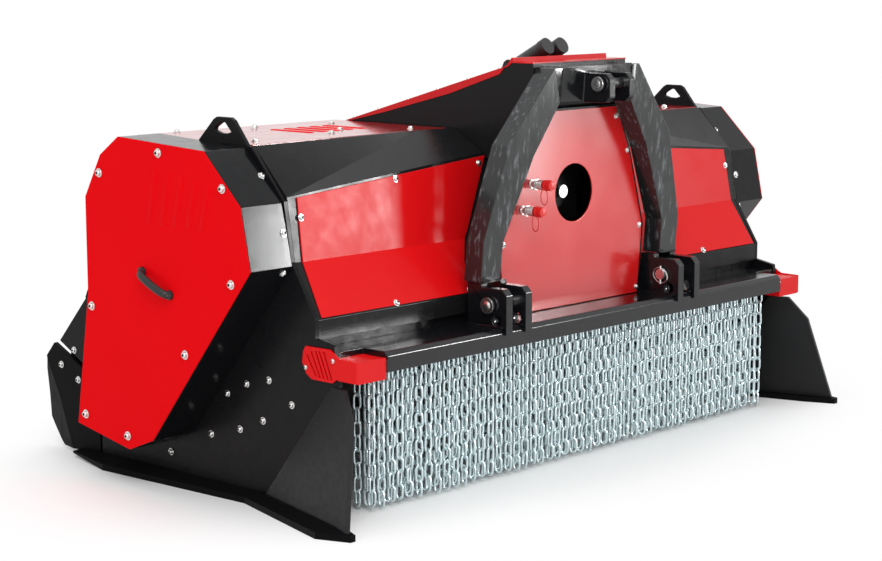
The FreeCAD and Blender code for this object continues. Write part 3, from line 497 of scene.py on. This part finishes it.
def welds_of_side(sign):
    """Start, end and radius of every bead on one side."""
    rows = [
        (at(sign * HEAD_SIDE, lean(1216), 1216), at(sign * HEAD_SIDE, lean(1318), 1318), 4.5),
        (at(sign * HEAD_SIDE, lean(1322) + 4, 1323), at(sign * HEAD_SIDE, lean(1322) + 70, 1323), 4.0),
    ]
    for x in EAR_WELDS:
        rows.append((at(sign * x, lean(1210), 1210), at(sign * x, lean(1300), 1300), 5.0))
    foot_front = lean(LEG_FOOT - 1)
    rows += [
        (at(sign * 40, lean(1303) - 1, 1303), at(sign * 64, lean(1303) - 1, 1303), 4.0),
        (at(sign * 428, foot_front, LEG_FOOT), at(sign * 516, foot_front, LEG_FOOT), 4.5),
        (at(sign * LEG_OUT, foot_front + 4, LEG_FOOT), at(sign * LEG_OUT, 256, LEG_FOOT), 4.0),
    ]
    for x, back in LOW_EAR_WELDS:
        rows.append((at(sign * x, 104, BEAM_TOP), at(sign * x, back, BEAM_TOP), 4.5))
    rows += [
        (at(sign * 1045, 103, 455), at(sign * 1045, 103, 490), 3.5),
        (at(sign * 1166, 1160, 1030), at(sign * 1166, 1398, 550), 2.5),
    ]
    return rows


FIRST_SEED = 100
pile = Pile()
for index, (start, end, radius) in enumerate(welds_of_side(-1) + welds_of_side(1)):
    bead(pile, start, end, radius, FIRST_SEED + index)
pile.build("weld_beads", [GLOSS], "housing")

# Bail handles on the end covers

HANDLE_CENTRE = (817, 678)
HANDLE_TURN = math.radians(24.6)
HANDLE_HALF = 0.070
HANDLE_RISE = 0.024
HANDLE_STEPS = 24
HANDLE_SIDES = 14
GRIP_HALF = (0.0080, 0.0125)
FOOT_PLACE = 0.072
HANDLE_FOOT = [(15.5, 0), (15.5, 6), (14, 10), (9, 12)]
HANDLE_SCREW = [(5.2, 11.8), (5.2, 14), (3.6, 15.2)]


def bail_handle(pile, sign):
    """A bowed grip with a foot and a screw at each end."""
    along = Vector((0, math.cos(HANDLE_TURN), math.sin(HANDLE_TURN)))
    out = Vector((sign, 0, 0))
    centre = at(sign * COVER_OUT, *HANDLE_CENTRE)
    arc = []
    for step in range(HANDLE_STEPS + 1):
        turn = math.pi * (0.04 + 0.92 * step / HANDLE_STEPS)
        bulge = math.sin(turn) ** 0.55
        arc.append(centre + along * (-HANDLE_HALF * math.cos(turn)) + out * (0.003 + HANDLE_RISE * bulge))
    turns = [math.pi * 2 * i / HANDLE_SIDES for i in range(HANDLE_SIDES)]
    sweep(pile, arc, [(GRIP_HALF[0] * math.cos(a), GRIP_HALF[1] * math.sin(a)) for a in turns])
    for end in (-1, 1):
        foot = centre + along * FOOT_PLACE * end
        lathe(pile, HANDLE_FOOT, foot, out, turns=22)
        lathe(pile, HANDLE_SCREW, foot, out, turns=14, mark=1)


pile = Pile()
for sign in (-1, 1):
    bail_handle(pile, sign)
handles = pile.build("bail_handles", [PLASTIC, BRIGHT], "housing")
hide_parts("cover_handles")

# Chain curtain: three rows of welded links

LINK_LONG = 58.0
LINK_WIDE = 32.0
LINK_WIRE = 4.2
LINK_PITCH = 43.2
CHAIN_TOP = 447.0
LINKS = 10
CHAINS = 50
CHAIN_HALF = 1046.0
CHAIN_INSET = 14
CHAIN_PITCH = (2 * CHAIN_HALF - 2 * CHAIN_INSET) / (CHAINS - 1)
CHAIN_ROWS = [
    # name, depth, number of chains, CAD node
    ("chains_front", 185, 50, "chain_row_front"),
    ("chains_middle", 215, 49, "chain_row_middle"),
    ("chains_rear", 245, 50, "chain_row_rear"),
]


def link_path():
    """The centre line of one link, long way down, in its own plane."""
    half = (LINK_WIDE - 2 * LINK_WIRE) / 2
    straight = (LINK_LONG - LINK_WIDE) / 2
    path = []
    for end in (1, -1):
        for step in range(7):
            turn = math.pi * step / 6
            path.append((end * half * math.cos(turn), end * (straight + half * math.sin(turn))))
    return path


LINK = link_path()
WIRE = round_shape(LINK_WIRE, 6)


def hang_chain(pile, x, depth, quarter, local):
    """One chain of links turned square to each other, hanging a little off true."""
    lean_x = local.uniform(-0.006, 0.006)
    lean_y = local.uniform(-0.010, 0.010)
    yaw = local.uniform(-0.30, 0.30)
    slack = local.uniform(0.972, 1.0)
    for link in range(LINKS):
        drop = (link + 0.5) * LINK_PITCH * slack
        z = CHAIN_TOP - drop
        turn = yaw + (math.pi / 2 if link % 2 else 0) + quarter
        turn += local.uniform(-0.16, 0.16)
        tilt = local.uniform(-0.05, 0.05)
        flat = Vector((math.cos(turn), math.sin(turn), 0))
        down = Vector((tilt * math.cos(turn), tilt * math.sin(turn), 1)).normalized()
        centre = at(x + lean_x * drop, depth + lean_y * drop, z)
        path = [centre + (flat * u + down * v) / 1000 for u, v in LINK]
        sweep(pile, path, WIRE, closed=True)


CHAIN_SEED = 7
for row_index, (name, depth, count, cad_node) in enumerate(CHAIN_ROWS):
    local = random.Random(CHAIN_SEED + row_index)
    pile = Pile()
    first = -CHAIN_HALF + CHAIN_INSET + (0 if count == CHAINS else CHAIN_PITCH / 2)
    for chain in range(count):
        hang_chain(pile, first + chain * CHAIN_PITCH, depth, math.pi / 4 * (row_index % 2), local)
    row = pile.build(name, [ZINC], "housing", crease=80)
    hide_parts(cad_node)

# Chain rails under the beam

RAIL_Z = 446
pile = Pile()
for _, depth, _, _ in CHAIN_ROWS:
    path = [at(-CHAIN_HALF, depth, RAIL_Z), at(CHAIN_HALF, depth, RAIL_Z)]
    sweep(pile, path, round_shape(4, 10))
pile.build("chain_rails", [ZINC], "housing")

# Hitch pins: collars, linch pins and rings

LOW_COLLAR = [(14, 0), (14, 2), (10, 4), (4, 4.6)]
TOP_COLLAR = [(12, 0), (12, 1.5), (5, 2.5)]
RING_STEPS = 28
RING_TURNS = [2 * math.pi * i / RING_STEPS for i in range(RING_STEPS)]

pile = Pile()
for sign in (-1, 1):
    lathe(pile, LOW_COLLAR, at(sign * 533, *LINK_PIN), Vector((sign, 0, 0)), turns=28)
    end = at(sign * 384, *LINK_PIN)
    sweep(pile, [end + Vector((0, 0, -0.034)), end + Vector((0, 0, 0.030))], round_shape(4.5, 12))
    ring = [end + Vector((0, 0.030 * math.sin(a), 0.026 * math.cos(a) - 0.004 + 0.004 * math.sin(a)))
            for a in RING_TURNS]
    sweep(pile, ring, round_shape(2.4, 8), closed=True)
end = at(76, *TOP_PIN)
sweep(pile, [end + Vector((0, 0, -0.028)), end + Vector((0, 0, 0.026))], round_shape(4, 12))
ring = [end + Vector((0, 0.024 * math.sin(a), 0.024 * math.cos(a) - 0.002)) for a in RING_TURNS]
sweep(pile, ring, round_shape(2.2, 8), closed=True)
lathe(pile, TOP_COLLAR, at(-82, *TOP_PIN), Vector((-1, 0, 0)), turns=28)
pile.build("linch_pins", [BRIGHT], "housing")

# Hydraulic couplers: knurled collars, tether rings

COUPLERS = [
    # x, z
    (-239, 944),
    (-283, 861),
]
KNURL = [(15.2, 0), (16.2, 1.5), (16.2, 3.5), (15.2, 5)]
HEXAGON = [(17.6, 0), (17.6, 3), (16, 4)]
CAP_END = [(12, 0), (12, 2), (9, 3)]
CAP_RIM = [(17.8, 0), (18.8, 1.5), (18.8, 4.5), (17.8, 6)]
KNURLS = 4
TETHER_STEPS = 36
TETHER_REACH = 24


def coupler_trim(pile, x, z):
    """The knurled collar, the nut, the cap's rims and the loop of the cap's tether."""
    for step in range(KNURLS):
        lathe(pile, KNURL, at(x, 176 + step * 6, z), BACKWARD, turns=26)
    lathe(pile, HEXAGON, at(x, 205, z), BACKWARD, turns=6, corners=6)
    lathe(pile, CAP_END, at(x, 136, z), FORWARD, turns=24, mark=1)
    lathe(pile, CAP_RIM, at(x, 160, z), BACKWARD, turns=26, mark=1)
    ring = []
    for i in range(TETHER_STEPS):
        a = 2 * math.pi * i / TETHER_STEPS
        reach = TETHER_REACH * math.sin(a)
        ring.append(at(x + reach * 0.5, 172 + reach, z - 38 + 27 * math.cos(a)))
    sweep(pile, ring, round_shape(1.5, 7), closed=True, mark=1)


pile = Pile()
for x, z in COUPLERS:
    coupler_trim(pile, x, z)
pile.build("coupler_rings", [BRIGHT, CAP], "housing")

# Input shaft splines

SPLINES = 20
SPLINE_RADIUS = 0.0208
SPLINE_ENDS = (288.5, 312)
pile = Pile()
for step in range(SPLINES):
    turn = 2 * math.pi * step / SPLINES
    spot = Vector((math.cos(turn), 0, math.sin(turn))) * SPLINE_RADIUS
    sweep(pile, [at(0, y, SHAFT_Z) + spot for y in SPLINE_ENDS], round_shape(1.5, 6))
pile.build("shaft_splines", [BRIGHT], "input_shaft")

# Carbide studs on the rotor's teeth

TOOTH_COUNT = 36
TOOTH_TURN = 50
FIRST_TOOTH = -1085
TOOTH_SPAN = 2124.0
STUD_SHIFTS = (12, 34)
STUD_FOOT = 0.280
STUD = [(9, 0), (9, 9.0), (6.5, 9.9)]
pile = Pile()
for index in range(TOOTH_COUNT):
    for half in (0, 180):
        turn = math.radians(index * TOOTH_TURN + half)
        up = Vector((0, -math.sin(turn), math.cos(turn)))
        x = FIRST_TOOTH + index * TOOTH_SPAN / (TOOTH_COUNT - 1)
        for shift in STUD_SHIFTS:
            foot = at(x + shift, *ROTOR_AXIS) + up * STUD_FOOT
            lathe(pile, STUD, foot, up, turns=10)
pile.build("tooth_studs", [CARBIDE], "rotor")

# Pressed ribs on the end covers and deck covers

RIBS = 5
RIB_WIDE = 26
COVER_RIB_PITCH = 62
DECK_RIB_PITCH = 60
DECK_TOP = 1110


def rib(pile, start, end, normal, wide, high):
    """A long low ridge with slanted flanks and ends."""
    along = (end - start).normalized()
    across = along.cross(normal).normalized()
    points = []
    for lift, shrink in ((0.0, 0.0), (high, 3.0)):
        for u, v in ((0, -1), (1, -1), (1, 1), (0, 1)):
            spot = start.lerp(end, u) + along * (shrink if u == 0 else -shrink) / 1000
            points.append(spot + across * v * (wide / 2 - shrink) / 1000 + normal * lift / 1000)
    pile.add(points, [(3, 2, 1, 0), (4, 5, 6, 7), (0, 1, 5, 4), (1, 2, 6, 5), (2, 3, 7, 6), (3, 0, 4, 7)])


pile = Pile()
for sign in (-1, 1):
    for index in range(RIBS):
        start = at(sign * COVER_OUT, 600 + index * COVER_RIB_PITCH, 860)
        end = at(sign * COVER_OUT, 560 + index * COVER_RIB_PITCH, 1000 + index * 8)
        rib(pile, start, end, Vector((sign, 0, 0)), RIB_WIDE, 1.6)
    for index in range(RIBS):
        x = sign * (470 + index * DECK_RIB_PITCH)
        rib(pile, at(x, 770, DECK_TOP), at(x, 960, DECK_TOP), -DOWNWARD, RIB_WIDE, 1.8)
pile.build("pressed_ribs", [RED], "housing")

# Studio: a pale floor that fades to white away from the machine, and a white world

FLOOR_HALF = 40
FLOOR_PALE = 0.93
FADE_OVAL = (0.62, 1.0, 1.0)
FADE_FROM = 0.80
FADE_TO = 1.38
WORLD_SOFT = 0.78
LAMP_AIM = Vector((0, 0, 0.5))


def floor_finish():
    """Matt pale paint; for the camera alone it fades to plain white beyond an oval."""
    paint = bpy.data.materials.new("floor_paint")
    paint.use_nodes = True
    tree = paint.node_tree
    shader = tree.nodes["Principled BSDF"]
    shader.inputs["Base Color"].default_value = (FLOOR_PALE, FLOOR_PALE, FLOOR_PALE, 1)
    shader.inputs["Roughness"].default_value = 0.9
    shader.inputs["Specular IOR Level"].default_value = 0.0
    place = tree.nodes.new("ShaderNodeTexCoord")
    oval = tree.nodes.new("ShaderNodeMapping")
    oval.inputs["Scale"].default_value = FADE_OVAL
    reach = tree.nodes.new("ShaderNodeVectorMath")
    reach.operation = "LENGTH"
    fade = tree.nodes.new("ShaderNodeMapRange")
    fade.interpolation_type = "SMOOTHSTEP"
    fade.inputs["From Min"].default_value = FADE_FROM
    fade.inputs["From Max"].default_value = FADE_TO
    seen = tree.nodes.new("ShaderNodeLightPath")
    share = tree.nodes.new("ShaderNodeMath")
    share.operation = "MULTIPLY"
    white = tree.nodes.new("ShaderNodeEmission")
    white.inputs["Color"].default_value = (1, 1, 1, 1)
    white.inputs["Strength"].default_value = 1.0
    blend = tree.nodes.new("ShaderNodeMixShader")
    tree.links.new(place.outputs["Object"], oval.inputs["Vector"])
    tree.links.new(oval.outputs["Vector"], reach.inputs[0])
    tree.links.new(reach.outputs["Value"], fade.inputs["Value"])
    tree.links.new(fade.outputs["Result"], share.inputs[0])
    tree.links.new(seen.outputs["Is Camera Ray"], share.inputs[1])
    tree.links.new(share.outputs[0], blend.inputs[0])
    tree.links.new(shader.outputs["BSDF"], blend.inputs[1])
    tree.links.new(white.outputs["Emission"], blend.inputs[2])
    tree.links.new(blend.outputs[0], tree.nodes["Material Output"].inputs["Surface"])
    return paint


def build_floor():
    """A large flat square under the machine."""
    corners = [(-FLOOR_HALF, -FLOOR_HALF, 0), (FLOOR_HALF, -FLOOR_HALF, 0),
               (FLOOR_HALF, FLOOR_HALF, 0), (-FLOOR_HALF, FLOOR_HALF, 0)]
    mesh = bpy.data.meshes.new("floor")
    mesh.from_pydata(corners, [], [(0, 1, 2, 3)])
    mesh.materials.append(floor_finish())
    floor = bpy.data.objects.new("floor", mesh)
    scene.collection.objects.link(floor)


def build_world():
    """White for the camera and in reflections, softer as a light on paint."""
    world = bpy.data.worlds.new("studio")
    scene.world = world
    world.use_nodes = True
    tree = world.node_tree
    tree.nodes.clear()
    out = tree.nodes.new("ShaderNodeOutputWorld")
    blend = tree.nodes.new("ShaderNodeMixShader")
    soft = tree.nodes.new("ShaderNodeBackground")
    soft.inputs["Color"].default_value = (1.0, 1.0, 1.0, 1)
    soft.inputs["Strength"].default_value = WORLD_SOFT
    white = tree.nodes.new("ShaderNodeBackground")
    white.inputs["Color"].default_value = (1, 1, 1, 1)
    white.inputs["Strength"].default_value = 1.0
    path = tree.nodes.new("ShaderNodeLightPath")
    first = tree.nodes.new("ShaderNodeMath")
    first.operation = "MAXIMUM"
    second = tree.nodes.new("ShaderNodeMath")
    second.operation = "MAXIMUM"
    tree.links.new(path.outputs["Is Camera Ray"], first.inputs[0])
    tree.links.new(path.outputs["Is Glossy Ray"], first.inputs[1])
    tree.links.new(first.outputs[0], second.inputs[0])
    tree.links.new(path.outputs["Is Transmission Ray"], second.inputs[1])
    tree.links.new(second.outputs[0], blend.inputs[0])
    tree.links.new(soft.outputs[0], blend.inputs[1])
    tree.links.new(white.outputs[0], blend.inputs[2])
    tree.links.new(blend.outputs[0], out.inputs["Surface"])


build_floor()
build_world()

LAMPS = [
    # name, place, size, power, lights paint directly
    ("key", (-5.0, -5.5, 6.5), 4.5, 330.0, True),
    ("top", (0.5, 0.5, 7.0), 6.0, 120.0, True),
    ("side", (4.54, -5.80, 1.93), 1.1, 380.0, False),
    ("low", (5.4, -6.2, 0.80), 1.6, 50.0, False),
]
for name, place, size, power, lights_paint in LAMPS:
    data = bpy.data.lights.new(name, "AREA")
    data.shape = "SQUARE"
    data.size = size
    data.energy = power
    lamp = bpy.data.objects.new(name, data)
    lamp.visible_diffuse = lights_paint
    scene.collection.objects.link(lamp)
    aim = LAMP_AIM - Vector(place)
    lamp.matrix_world = Matrix.Translation(place) @ aim.to_track_quat("-Z", "Y").to_matrix().to_4x4()

# Camera

AZIMUTH = math.radians(47.14)
PITCH = math.radians(8.82)
CAMERA_PLACE = (-5.339, -4.9195, 1.658)
camera_data = bpy.data.cameras.new("camera")
camera_data.lens = 83.66
camera_data.sensor_width = 36.0
camera_data.shift_x = 0.0011
camera_data.shift_y = 0.0009
camera = bpy.data.objects.new("camera", camera_data)
scene.collection.objects.link(camera)
look = Vector((math.sin(AZIMUTH) * math.cos(PITCH), math.cos(AZIMUTH) * math.cos(PITCH), -math.sin(PITCH)))
camera.matrix_world = (
    Matrix.Translation(CAMERA_PLACE) @ look.to_track_quat("-Z", "Y").to_matrix().to_4x4()
)
scene.camera = camera

scene.view_settings.view_transform = "Standard"
